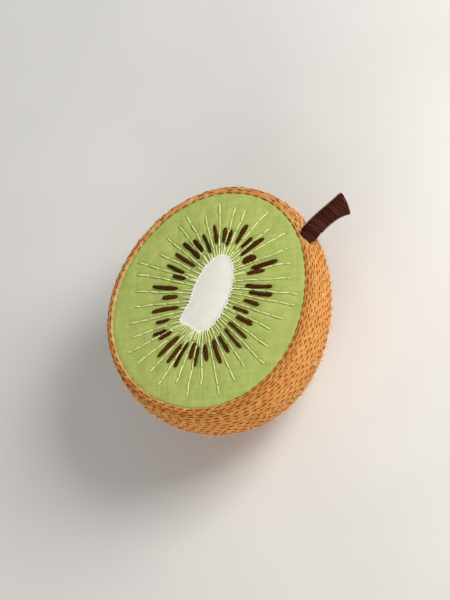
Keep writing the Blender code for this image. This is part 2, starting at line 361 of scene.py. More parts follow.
def seed_marks():
    """Turn, inner share, outer share and width of each seed, spread evenly round the core."""
    marks = []
    for n in range(SEED_COUNT):
        turn = 2 * math.pi * (n + FACE_LAYOUT.uniform(-SEED_TURN_SPREAD, SEED_TURN_SPREAD)) / SEED_COUNT
        reach = face_reach(turn)
        length = SEED_LENGTH * FACE_LAYOUT.uniform(*SEED_LENGTH_SPREAD)
        shift = OUTER_SEED_SHIFT if n % OUTER_SEED_EVERY == 1 else 0
        begin = SEED_RING_GAP + FACE_LAYOUT.uniform(*SEED_GAP_SPREAD) + shift
        width = SEED_WIDTH * FACE_LAYOUT.uniform(*SEED_WIDTH_SPREAD)
        if n == BROAD_SEED:
            width = BROAD_SEED_WIDTH
        marks.append((turn, begin / reach, (begin + length) / reach, width))
    return marks


def ray_marks(seeds):
    """Turn and outer share of each long ray, one between each two seeds."""
    turns_of_seeds = [seed[0] for seed in seeds] + [seeds[0][0] + 2 * math.pi]
    marks = []
    for before, after in zip(turns_of_seeds, turns_of_seeds[1:]):
        turn = before + (after - before) * FACE_LAYOUT.uniform(*RAY_TURN_SPREAD)
        marks.append((turn, FACE_LAYOUT.uniform(*RAY_END_SPREAD)))
    return marks


def stem_point(along):
    """Point on the stem's middle line, a curve through its three named points."""
    bend = STEM_WAIST * 2 - (STEM_ROOT + STEM_TIP) / 2
    level = Vector((0, 0, CUT_HEIGHT))
    return STEM_ROOT * (1 - along) ** 2 + bend * 2 * along * (1 - along) + STEM_TIP * along**2 + level


def stem_width(along):
    """Full width of the stem, narrowest at its waist."""
    if along < STEM_WAIST_AT:
        flare = (1 - along / STEM_WAIST_AT) ** 2
        return STEM_WAIST_WIDTH + (STEM_ROOT_WIDTH - STEM_WAIST_WIDTH) * flare
    flare = ((along - STEM_WAIST_AT) / (1 - STEM_WAIST_AT)) ** STEM_FLARE
    return STEM_WAIST_WIDTH + (STEM_TIP_WIDTH - STEM_WAIST_WIDTH) * flare


# Meshes from arrays

def unit(vectors):
    return vectors / np.linalg.norm(vectors, axis=-1, keepdims=True)


def add_piece(name, points, faces, material, node, slot, marks=None):
    """A piece from its points and its groups of faces, with named numbers for its material."""
    mesh = bpy.data.meshes.new(name)
    corners = np.concatenate([group.ravel() for group in faces]).astype(np.int32)
    sizes = np.concatenate([np.full(len(group), group.shape[1]) for group in faces])
    starts = np.concatenate([[0], np.cumsum(sizes)[:-1]]).astype(np.int32)
    mesh.vertices.add(len(points))
    mesh.vertices.foreach_set("co", np.ascontiguousarray(points, dtype=np.float32).ravel())
    mesh.loops.add(len(corners))
    mesh.loops.foreach_set("vertex_index", corners)
    mesh.polygons.add(len(sizes))
    mesh.polygons.foreach_set("loop_start", starts)
    mesh.update(calc_edges=True)
    mesh.validate()
    mesh.shade_smooth()
    for mark, values in (marks or {}).items():
        layer = mesh.attributes.new(mark, "FLOAT", "POINT")
        layer.data.foreach_set("value", np.ascontiguousarray(values, dtype=np.float32).ravel())
    mesh.materials.append(material)
    piece = bpy.data.objects.new(name, mesh)
    bpy.context.collection.objects.link(piece)
    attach(piece, "root")
    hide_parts(node)


def tube_faces(count, rings, sides):
    """Faces of closed tubes whose points run tube by tube, ring by ring."""
    first = np.arange(count)[:, None, None] * rings * sides
    ring = np.arange(rings - 1)[None, :, None] * sides
    side = np.arange(sides)[None, None, :]
    here = first + ring + side
    beside = first + ring + (side + 1) % sides
    walls = np.stack([here, beside, beside + sides, here + sides], axis=-1).reshape(-1, 4)
    begins = (first + side[:, :, ::-1]).reshape(-1, sides)
    ends = (first + (rings - 1) * sides + side).reshape(-1, sides)
    return [walls, begins, ends]


def oval(sides):
    """Corners of a round section."""
    angle = 2 * math.pi * (np.arange(sides) + 0.5) / sides
    return np.stack([np.cos(angle), np.sin(angle)], axis=-1)


def add_tubes(name, paths, ups, half_widths, half_heights, section, material, tones, **where):
    """Many thread-like closed tubes, each along its own path, pressed flat where they meet the floor."""
    count, rings = paths.shape[:2]
    wide, high = np.array(section).T
    sides = len(wide)
    ahead = unit(np.gradient(paths, axis=1))
    across = unit(np.cross(ups, ahead))
    rise = np.cross(ahead, across)
    out = across[:, :, None] * (half_widths[..., None] * wide)[..., None]
    up = rise[:, :, None] * (half_heights[..., None] * high)[..., None]
    points = (paths[:, :, None] + out + up).reshape(-1, 3)
    points[:, 2] = np.maximum(points[:, 2], 0)
    steps = np.linalg.norm(np.diff(paths, axis=1, prepend=paths[:, :1]), axis=-1)
    shape = (count, rings, sides)
    marks = {
        "tone": np.broadcast_to(tones[:, None, None], shape),
        "across": np.broadcast_to(wide, shape),
        "run": np.broadcast_to(np.cumsum(steps, axis=1)[..., None] * 1000, shape),
    }
    add_piece(name, points, tube_faces(count, rings, sides), material, marks=marks, **where)


# The cover's surface, followed by its stitches

def cover_profile():
    """Share of the plan outline, inset and height, from inside the rim to the middle of the flat spot."""
    rim_share = girth(CUT_ABOVE_WIDEST)
    rim = []
    for inset, rise in RIM_SECTION:
        rim.append((rim_share, COVER_THICKNESS * inset, CUT_HEIGHT + RIM_RISE * rise))
    first = math.asin(CUT_ABOVE_WIDEST / DOME_DEPTH)
    last = -math.asin(1 - FLAT_SPOT_CUT / DOME_DEPTH)
    levels = DOME_DEPTH * np.sin(np.linspace(first, last, DOME_LEVELS))
    dome = [(girth(level), 0, CUT_HEIGHT - CUT_ABOVE_WIDEST + level) for level in levels]
    spot = [(dome[-1][0] * share, 0, 0) for share in SPOT_SHARES]
    return np.array(rim + dome + spot)


PROFILE = cover_profile()
PROFILE_STEPS = np.hypot(np.diff(PROFILE[:, 0] * MEAN_RADIUS - PROFILE[:, 1]), np.diff(PROFILE[:, 2]))
PROFILE_RUN = np.concatenate([[0], np.cumsum(PROFILE_STEPS)])
COVER_SPAN = PROFILE_RUN[-1]


def cover_surface(turn, along):
    """Points of the cover, at a turn about the fruit and a distance along its profile."""
    share, inset, height = (np.interp(along, PROFILE_RUN, column) for column in PROFILE.T)
    reach = plan_radius(turn) * share - inset
    return np.stack([reach * np.cos(turn), reach * np.sin(turn), height], axis=-1)


def cover_normal(turn, along):
    """Outward direction of the cover, evened out over one stitch's width."""
    ahead = cover_surface(turn + NORMAL_STEP, along) - cover_surface(turn - NORMAL_STEP, along)
    down = cover_surface(turn, along + NORMAL_SPAN) - cover_surface(turn, along - NORMAL_SPAN)
    return unit(np.cross(down, ahead))


def stem_clearance(points):
    """Distance of points from the stem's middle line, as a share of its half width there."""
    alongs = np.linspace(0, 1, STEM_LINE_POINTS)
    line = np.array([stem_point(along) for along in alongs])
    halves = np.array([stem_width(along) / 2 for along in alongs])
    away = points[..., None, :] - line
    away[..., 2] /= STEM_FLATNESS
    return np.min(np.linalg.norm(away, axis=-1) / halves, axis=-1)


def stitch_rows():
    """Place along the profile, pitch, stitch count and stagger of each row of the cover."""
    rows = []
    along = 0.1 * RIM_ROW_PITCH
    while along < COVER_SPAN - 0.9 * LOW_ROW_PITCH:
        pitch = np.interp(along, *zip(*ROW_PITCHES))
        reach = MEAN_RADIUS * np.interp(along, PROFILE_RUN, PROFILE[:, 0])
        count = max(3, round(2 * math.pi * reach / STITCH_LENGTH))
        rows.append((along + pitch / 2, pitch, count, 0.5 * (len(rows) % 2)))
        along += pitch
    return rows


def columns(rows):
    """One long array for each column of rows of arrays."""
    return [np.concatenate(column) for column in zip(*rows)]


def stitch_marks(draw):
    """Turn, place, half length, width, lean and tone of every stitch, and the same of every dark thread."""
    stitches, flecks = [], []
    for number, (along, pitch, count, stagger) in enumerate(stitch_rows()):
        spacing = 2 * math.pi / count
        jitter = draw.uniform(-STITCH_TURN_SPREAD, STITCH_TURN_SPREAD, count)
        turns = spacing * (np.arange(count) + stagger + jitter)
        places = along + draw.normal(0, STITCH_ROW_SPREAD, count) * pitch
        halves = spacing * draw.uniform(*STITCH_HALF_SPREAD, count)
        widths = pitch * draw.uniform(*STITCH_WIDTH_SPREAD, count)
        leans = np.clip(np.cos(turns - SLANT_TURN), 0, 1) ** 2 * (number >= RIM_ROWS)
        pale = np.clip(PALE_ROW_STRENGTH * np.cos(turns - PALE_ROW_TURN), 0, 1) * (number == 0)
        pale += PALE_RIM_STRENGTH * (1 + np.cos(turns - PALE_RIM_TURN)) * (number < PALE_ROWS)
        stitches.append((turns, places, halves, widths, leans, draw.uniform(0, 1, count) + pale))
        for side in (-0.5, 0.5) if number == 0 else (0.5,):
            jitter = draw.uniform(-FLECK_TURN_SPREAD, FLECK_TURN_SPREAD, count)
            fleck_turns = turns + spacing * (side + jitter)
            fleck_places = along + side * pitch + draw.normal(0, FLECK_ROW_SPREAD, count) * pitch
            fleck_halves = FLECK_LENGTH / STITCH_LENGTH * spacing / 2
            fleck_halves = fleck_halves * draw.uniform(*FLECK_LENGTH_SPREAD, count)
            on_rim = np.full(count, number < RIM_ROWS)
            flecks.append((fleck_turns, fleck_places, fleck_halves, leans, on_rim))
    return columns(stitches), columns(flecks)


def add_cover_threads(thread, fleck_thread):
    """Brick-laid stitches in rows round the fruit, and the darker thread showing in their grooves."""
    draw = np.random.default_rng(STITCH_DRAW)
    stitches, flecks = stitch_marks(draw)
    add_cover_stitches(thread, draw, stitches)
    add_flecks(fleck_thread, draw, flecks)


def add_cover_stitches(thread, draw, marks):
    """Stitches that each dive under the next of their row, with none under the stem."""
    clear = stem_clearance(cover_surface(*marks[:2])) > STITCH_CLEARANCE
    turns, places, halves, widths, leans, tones = (mark[clear] for mark in marks)
    slants = (STITCH_SLANT * leans + draw.normal(0, STITCH_LEAN_SPREAD, len(turns))) * widths
    run = turns[:, None] + halves[:, None] * STITCH_STEPS
    along = places[:, None] + slants[:, None] * STITCH_STEPS
    thickness = STITCH_THICKNESS * (2 * widths[:, None] / RIM_ROW_PITCH) ** STITCH_GROWTH
    normals = cover_normal(run, along)
    paths = cover_surface(run, along) + normals * (thickness * STITCH_DIPS)[..., None]
    half_widths = widths[:, None] * STITCH_TAPER
    half_heights = thickness / 2 * STITCH_HEIGHTS
    add_tubes("cover_stitches", paths, normals, half_widths, half_heights, STITCH_SECTION, thread, tones,
              node="skin", slot="skin_thread")


def add_flecks(thread, draw, marks):
    """Dark threads in the grooves, few of them where the rim is pale and none under the stem."""
    turns, places = marks[:2]
    keep = places < COVER_SPAN - LOW_ROW_PITCH
    keep &= stem_clearance(cover_surface(turns, places)) > FLECK_CLEARANCE
    keep &= (places > 0.5 * RIM_ROW_PITCH) | (np.cos(turns - PALE_ROW_TURN) < PALE_ROW_EDGE)
    outer = (places > 0.7 * RIM_ROW_PITCH) & (places < PALE_REACH)
    keep &= ~outer | (np.cos(turns - PALE_RIM_TURN) < draw.uniform(*PALE_RIM_SPREAD, len(turns)))
    turns, places, halves, leans, on_rim = (mark[keep] for mark in marks)
    lifts = np.where(on_rim, RIM_FLECK_LIFT, 0)
    widths = np.where(on_rim, RIM_FLECK_WIDTH, FLECK_WIDTH)
    slants = FLECK_LENGTH / 2 * (FLECK_TILT * leans + draw.normal(0, FLECK_LEAN_SPREAD, len(turns)))
    run = turns[:, None] + halves[:, None] * FLECK_STEPS
    along = places[:, None] + slants[:, None] * FLECK_STEPS
    normals = cover_normal(run, along)
    dips = STITCH_THICKNESS * FLECK_DIPS + lifts[:, None]
    paths = cover_surface(run, along) + normals * dips[..., None]
    half_widths = widths[:, None] / 2 * FLECK_TAPER
    half_heights = RIM_FLECK_WIDTH / 2 * FLECK_TAPER * np.ones_like(run)
    add_tubes("cover_flecks", paths, normals, half_widths, half_heights, oval(6), thread,
              draw.uniform(0, 1, len(turns)), node="skin", slot="skin_thread")


def add_cover_base(cloth):
    """The backing cloth under the stitches, closed to a solid with a recess for the face."""
    turn = 2 * math.pi * np.arange(BASE_TURNS) / BASE_TURNS
    along = np.linspace(COVER_SPAN - BASE_END_GAP, BASE_BEGIN, BASE_ROWS)
    grid_turn, grid_along = np.meshgrid(turn, along)
    surface = cover_surface(grid_turn, grid_along)
    dent = BASE_DENT * np.clip(BASE_CLEARANCE - stem_clearance(surface), 0, 1)
    depth = np.minimum(BASE_DEPTH, surface[..., 2] + BASE_LOWEST) + dent
    rings = surface - cover_normal(grid_turn, grid_along) * depth[..., None]
    rings[..., 2] = np.maximum(rings[..., 2], BASE_LOWEST)
    recess = rings[-1:].copy()
    recess[..., 2] = CUT_HEIGHT - BASE_RECESS
    rings = np.concatenate([rings, recess])
    add_piece("cover_base", rings.reshape(-1, 3), tube_faces(1, len(rings), BASE_TURNS), cloth,
              node="skin", slot="skin_thread")


def add_fuzz(fuzz):
    """Fine pale fibres that stand off the cover."""
    draw = np.random.default_rng(FIBRE_DRAW)
    level = draw.uniform(FIBRE_BEGIN, COVER_SPAN - FIBRE_END_GAP, 3 * FIBRE_COUNT)
    reach = np.interp(level, PROFILE_RUN, PROFILE[:, 0])
    level = level[draw.uniform(0, 1, len(level)) < reach][:FIBRE_COUNT]
    turn = draw.uniform(0, 2 * math.pi, len(level))
    root = cover_surface(turn, level)
    keep = (stem_clearance(root) > FIBRE_CLEARANCE) & (root[:, 2] > FIBRE_LOWEST)
    root, turn, level = root[keep], turn[keep], level[keep]
    normal = cover_normal(turn, level)
    lean = draw.normal(0, 1, root.shape)
    lean -= normal * np.sum(lean * normal, axis=-1, keepdims=True)
    length = draw.uniform(*FIBRE_LENGTHS, len(root))[:, None]
    steps = np.array([0, 0.5, 1])[:, None]
    ahead = unit(normal + FIBRE_LEAN * lean)[:, None]
    bend = unit(lean)[:, None] * FIBRE_BEND * steps**2
    paths = root[:, None] - normal[:, None] * FIBRE_ROOT_DEPTH + length[:, None] * (ahead * steps + bend)
    thickness = FIBRE_RADIUS * FIBRE_TAPER * np.ones((len(root), 3))
    ups = np.broadcast_to(unit(np.cross(ahead, lean[:, None] + FIBRE_ASIDE)), paths.shape)
    add_tubes("fuzz", paths, ups, thickness, thickness, oval(3), fuzz, draw.uniform(0, 1, len(root)),
              node="skin", slot="skin_thread")


# The face: cloth, rays, seeds and core

def face_threads(seeds, rays):
    """Ends of every light stitch on the face, as turn and share, with wobble, and its thickness."""
    draw = random.Random(FACE_DRAW)
    stitches = []
    for turn, end in rays:
        reach = face_reach(turn)
        place, side = -RAY_TUCK / reach, 0.0
        while place < end - RAY_LEAST_SHARE:
            ahead = min(end, place + RAY_STITCH * draw.uniform(*RAY_STITCH_SPREAD) / reach)
            next_side = draw.uniform(-RAY_WOBBLE, RAY_WOBBLE)
            stitches.append((turn + side, place, turn + next_side, ahead - RAY_STITCH_GAP / reach, 1.0))
            place, side = ahead, next_side
    for n in range(SHORT_RAY_COUNT):
        turn = seeds[n % SEED_COUNT][0] + draw.uniform(-SHORT_RAY_SPREAD, SHORT_RAY_SPREAD)
        reach = face_reach(turn)
        end = draw.uniform(*SHORT_RAY_LENGTHS) / reach
        for seed_turn, begin, _, _ in seeds:
            away = abs((turn - seed_turn + math.pi) % (2 * math.pi) - math.pi)
            if away < SEED_HALF_TURN:
                end = min(end, begin - SHORT_RAY_GAP / reach)
        begin = -SHORT_RAY_TUCK / reach
        end = max(end, begin + SHORT_RAY_LEAST_SHARE)
        lean = draw.uniform(-SHORT_RAY_LEAN, SHORT_RAY_LEAN)
        stitches.append((turn, begin, turn + lean, end, SHORT_RAY_THICKNESS))
    return np.array(stitches)


def add_rays(stitches, thread):
    """Every ray's stitches, arched over the cloth with their ends tucked in."""
    turn = stitches[:, 0:1] + (stitches[:, 2:3] - stitches[:, 0:1]) * RAY_STEPS
    share = stitches[:, 1:2] + (stitches[:, 3:4] - stitches[:, 1:2]) * RAY_STEPS
    paths = face_point(turn, share, RAY_ARCH + RAY_RISE)
    radii = RAY_RADIUS * stitches[:, 4:5] * RAY_TAPER
    ups = np.broadcast_to(UP, paths.shape)
    draw = np.random.default_rng(FACE_DRAW)
    add_tubes("rays", paths, ups, radii, radii, oval(8), thread, draw.uniform(0, 1, len(paths)),
              node="flesh", slot="flesh_cloth")


def wave_starts(draw, count):
    """A column of random starting points for waves."""
    return draw.uniform(0, 6, count)[:, None]


def add_seeds(seeds, thread):
    """Padded seeds wound with thread, so that they are lumpy along their length."""
    steps = np.linspace(0, 1, SEED_RINGS)
    draw = np.random.default_rng(FACE_DRAW + 1)
    marks = np.array(seeds)
    count, widths = len(marks), marks[:, 3:4]
    share = marks[:, 1:2] + (marks[:, 2:3] - marks[:, 1:2]) * steps
    sway = SEED_SWAY * np.sin(SEED_SWAY_WAVES * steps + wave_starts(draw, count))
    paths = face_point(marks[:, 0:1] + sway, share, SEED_RISE)
    broad = widths > BROAD_FROM
    squareness = np.where(broad, BROAD_SQUARENESS, SEED_SQUARENESS)
    rounded = SEED_SWELL * np.sqrt(np.clip(1 - np.abs(2 * steps - 1) ** squareness, SEED_END, 1))
    length = np.linalg.norm(paths[:, -1] - paths[:, 0], axis=-1)[:, None]
    winding = 2 * math.pi * np.round(length / SEED_WINDING) * steps
    lumps = SEED_GIRTH + SEED_WINDING_RELIEF * np.cos(winding + wave_starts(draw, count))
    for waves, depth in SEED_LUMPS:
        lumps += depth * np.sin(waves * steps + wave_starts(draw, count))
    half_widths = widths / 2 * rounded * np.where(broad, 1 + BROAD_RELIEF * (lumps - 1), lumps)
    half_heights = np.minimum(half_widths, SEED_WIDTH / 2 * rounded * lumps) * SEED_FLATNESS
    ups = np.broadcast_to(UP, paths.shape)
    add_tubes("seeds", paths, ups, half_widths, half_heights, oval(12), thread,
              draw.uniform(0, 1, count), node="flesh", slot="flesh_cloth")


def nearest_thread(points, ends):
    """Distance from flat points to the nearest of the straight stitches."""
    nearest = np.full(len(points), 1.0)
    for begin, end in ends:
        along = end - begin
        share = np.clip((points - begin) @ along / (along @ along), 0, 1)
        away = np.linalg.norm(points - begin - share[:, None] * along, axis=-1)
        nearest = np.minimum(nearest, away)
    return nearest


def cloth_relief(flat, near, share):
    """Height of the cloth over the smooth face: pulled down at stitches, puffed between them, rippled."""
    x, y = flat[..., 0], flat[..., 1]
    relief = CLOTH_PUFF * (1 - np.exp(-((near / CLOTH_PUFF_WIDTH) ** 2)))
    relief -= CLOTH_PULL * np.exp(-((near / CLOTH_PULL_WIDTH) ** 2))
    relief += CLOTH_RIPPLE * (np.sin(x * 900 + 2 * np.sin(y * 700)) + np.sin(y * 820 + 1.3))
    edge = np.clip((share - CLOTH_EDGE_FROM) / (1 - CLOTH_EDGE_FROM), 0, 1)
    return relief - CLOTH_EDGE_DROP * edge**2


def add_face_cloth(stitches, seeds, cloth):
    """The green cloth, closed to a ring round the core."""
    turn = 2 * math.pi * np.arange(CLOTH_TURNS) / CLOTH_TURNS
    share = np.linspace(0.0, CLOTH_REACH, CLOTH_RINGS)
    grid_turn, grid_share = np.meshgrid(turn, share)
    top = face_point(grid_turn, grid_share)
    ends = [face_point(stitch[[0, 2]], stitch[[1, 3]])[:, :2] for stitch in stitches]
    ends += [face_point(np.full(2, seed[0]), np.array(seed[1:3]))[:, :2] for seed in seeds]
    near = nearest_thread(top[..., :2].reshape(-1, 2), ends).reshape(top.shape[:2])
    top[..., 2] += cloth_relief(top[..., :2], near, grid_share)
    inner_wall, outer_wall = top[0:1].copy(), top[-1:].copy()
    for wall in (inner_wall, outer_wall):
        wall[..., 2] = CUT_HEIGHT - CLOTH_WALL
    rings = np.concatenate([outer_wall, top[::-1], inner_wall])
    walls, _, _ = tube_faces(1, len(rings), CLOTH_TURNS)
    here = np.arange(CLOTH_TURNS)
    beside = (here + 1) % CLOTH_TURNS
    last = (len(rings) - 1) * CLOTH_TURNS
    closing = np.stack([last + here, last + beside, beside, here], axis=-1)
    # Painted shade: near is 1 at the rays and seeds and falls off over CLOTH_SHADE_WIDTH, and the cloth's
    # material darkens its colour there.
    crowd = np.concatenate([near[-1:], near[::-1], near[:1]])
    marks = {"near": np.exp(-((crowd / CLOTH_SHADE_WIDTH) ** 2))}
    add_piece("face_cloth", rings.reshape(-1, 3), [walls, closing], cloth,
              node="flesh", slot="flesh_cloth", marks=marks)


def add_core(cloth):
    """The white cloth of the core."""
    turn = 2 * math.pi * np.arange(CORE_TURNS) / CORE_TURNS
    wobble = sum(height * np.sin(waves * turn + start) for height, waves, start in CORE_WAVES)
    sections = list(CORE_SIDE)
    for step in CORE_STEPS:
        rise = CORE_TOP_RISE * (1 + math.sin(math.pi / 2 * max(0, step)))
        sections.append((CORE_WIDTH / 2 * step, rise))
    rings = []
    for inward, rise in sections:
        outline = core_edge(turn, -inward) + unit(core_edge(turn) - CORE_CENTRE) * wobble[:, None]
        lump = CORE_LUMP * np.sin(outline[:, 0] * 1500 + outline[:, 1] * 600)
        height = CUT_HEIGHT + FACE_CROWN + rise + (lump if rise > CORE_LUMP_FROM else 0)
        rings.append(np.column_stack([outline, np.broadcast_to(height, CORE_TURNS)]))
    add_piece("core_cloth", np.concatenate(rings), tube_faces(1, len(rings), CORE_TURNS), cloth,
              node="core", slot="core_cloth")


def add_core_fringe(thread):
    """The frayed edge of the core, made of short stitches."""
    draw = np.random.default_rng(FACE_DRAW + 2)
    jitter = draw.uniform(-FRINGE_SPREAD, FRINGE_SPREAD, FRINGE_COUNT)
    places = 2 * math.pi * (np.arange(FRINGE_COUNT) + jitter) / FRINGE_COUNT
    out = unit(core_edge(places) - core_edge(places, -FRINGE_STEP))
    begin = core_edge(places, -FRINGE_BEGIN)
    reach = draw.uniform(*FRINGE_LENGTHS, FRINGE_COUNT)
    flat = begin[:, None] + out[:, None] * (reach[:, None] * FRINGE_STEPS)[..., None]
    height = np.broadcast_to(CUT_HEIGHT + FACE_CROWN + FRINGE_RISES, flat.shape[:2])
    paths = np.concatenate([flat, height[..., None]], axis=-1)
    thickness = draw.uniform(*FRINGE_RADIUS_SPREAD, FRINGE_COUNT)
    radii = FRINGE_RADIUS * FRINGE_TAPER * thickness[:, None]
    ups = np.broadcast_to(UP, paths.shape)
    add_tubes("core_fringe", paths, ups, radii, radii * FRINGE_FLATNESS, oval(6), thread,
              draw.uniform(0, 1, FRINGE_COUNT), node="core", slot="core_cloth")


# The stem

def stem_frame(along):
    """Middle of the stem, and its directions ahead, to the side and up."""
    middle = np.array(stem_point(along))
    ahead = unit(np.array(stem_point(along + STEM_STEP)) - np.array(stem_point(along - STEM_STEP)))
    side = unit(np.cross([0, 0, 1], ahead))
    return middle, ahead, side, np.cross(ahead, side)


def stem_surface(along, share, turn, lift=0.0):
    """Points round the stem, at a share of its thickness and a height above that."""
    middle, ahead, side, up = stem_frame(along)
    half = stem_width(along) / 2 * share + lift
    slant = STEM_TIP_SLANT / 2 * along**STEM_SLANT_POWER * share
    out = np.cos(turn)[..., None] * side * half
    ends = np.minimum(np.cos(turn), STEM_TIP_BLUNTNESS)[..., None] * ahead * slant
    return middle + out + ends + np.sin(turn)[..., None] * up * half * STEM_FLATNESS


def stem_blunt(along, turn):
    """Share that is rounded off the upper corner of the stem's tip."""
    tip = np.clip((along - WRAP_CORNER_FROM) / (1 - WRAP_CORNER_FROM), 0, 1)
    return WRAP_CORNER * tip**2 * np.clip(np.cos(turn), 0, 1) ** 3


def wrap_ring(along, turn):
    """Points round the shaft at one place, the count of stitches up to each, and its height on its stitch."""
    rounded = math.sqrt(max(WRAP_LEAST_ROUND, 1 - (1 - min(1, along / WRAP_ROUND_UNTIL)) ** 2))
    share = rounded * (WRAP_TIP_SHARE if along == 1 else 1)
    across = np.cos(turn) * stem_width(along) / 2
    slant = (WRAP_SLANTS[0] + WRAP_SLANTS[1] * along) * across
    phase = (along * WRAP_LENGTH + slant) / WRAP_PITCH + WRAP_FIRST_STITCH
    for size, waves, twist in WRAP_WANDER:
        phase += size * np.sin(waves * along + twist * np.cos(turn))
    ridge = np.abs(np.sin(math.pi * phase))
    lift = WRAP_RISE * (ridge - WRAP_MIDDLE) * (along < WRAP_LAST_RINGS[0])
    return stem_surface(along, share - stem_blunt(along, turn)[:, None], turn, lift[:, None]), phase, ridge


def cap_ring(share, turn):
    """The same for a ring of the stem's end, at a share of its width."""
    phase = np.sin(turn) * stem_width(1.0) / 2 * STEM_FLATNESS * share / WRAP_PITCH + CAP_FIRST_STITCH
    ridge = np.abs(np.sin(math.pi * phase))
    bulge = CAP_BULGE * (1 - share**2) + CAP_RISE * ridge
    ring = stem_surface(1.0, share * (1 - stem_blunt(1.0, turn))[:, None], turn)
    return ring + bulge[:, None] * stem_frame(1.0)[1], phase, ridge


def add_stem_wrap(thread):
    """The stem, wrapped across its width with slanted satin stitches, and its end closed with more."""
    turn = 2 * math.pi * np.arange(WRAP_SIDES) / WRAP_SIDES
    tones = np.random.default_rng(WRAP_DRAW).uniform(0, 1, WRAP_TONES)
    alongs = np.concatenate([WRAP_FIRST_RINGS, WRAP_RINGS, WRAP_LAST_RINGS])
    parts = [(*wrap_ring(along, turn), WRAP_GROOVE) for along in alongs]
    parts += [(*cap_ring(share, turn), CAP_GROOVE) for share in CAP_SHARES]
    points = np.concatenate([ring for ring, _, _, _ in parts])
    tone = np.array([tones[np.floor(phase).astype(int) % WRAP_TONES] for _, phase, _, _ in parts])
    # Painted shade: groove is 1 between the satin stitches and 0 on their crests, and the stem's material
    # darkens the thread towards near-black there.
    groove = np.array([(1 - ridge) ** power for _, _, ridge, power in parts])
    add_piece("stem_wrap", points, tube_faces(1, len(parts), WRAP_SIDES), thread,
              node="stem", slot="stem_thread", marks={"tone": tone, "groove": groove})


def add_stem_edging(thread):
    """The grey thread that runs out along one side of the stem, round its tip and back."""
    tip = WRAP_RINGS[-1]
    turns = np.linspace(EDGING_UPPER, EDGING_LOWER - 2 * math.pi, EDGING_TIP_POINTS)[1:-1]
    course = [(along, EDGING_UPPER) for along in np.linspace(EDGING_BEGIN, tip, EDGING_POINTS)]
    course += [(EDGING_TIP, turn) for turn in turns]
    course += [(along, EDGING_LOWER) for along in np.linspace(tip, EDGING_END, EDGING_POINTS)]
    line = []
    for along, turn in course:
        line.append(stem_surface(along, 1 - stem_blunt(along, turn), np.array(turn), EDGING_LIFT))
    path = np.array(line)[None]
    ups = np.broadcast_to([0.0, 0.1, 1], path.shape)
    fade = np.clip(12 * np.sin(math.pi * np.linspace(0, 1, len(course))), 0.15, 1)
    radii = EDGING_RADIUS * fade[None]
    add_tubes("stem_edging", path, ups, radii, radii, oval(7), thread, np.array([0.5]),
              node="stem", slot="stem_thread")


# Materials

def srgb(red, green, blue):
    """A colour given as 0 to 255 screen values, in linear light."""
    return tuple((value / 255) ** 2.2 for value in (red, green, blue)) + (1,)


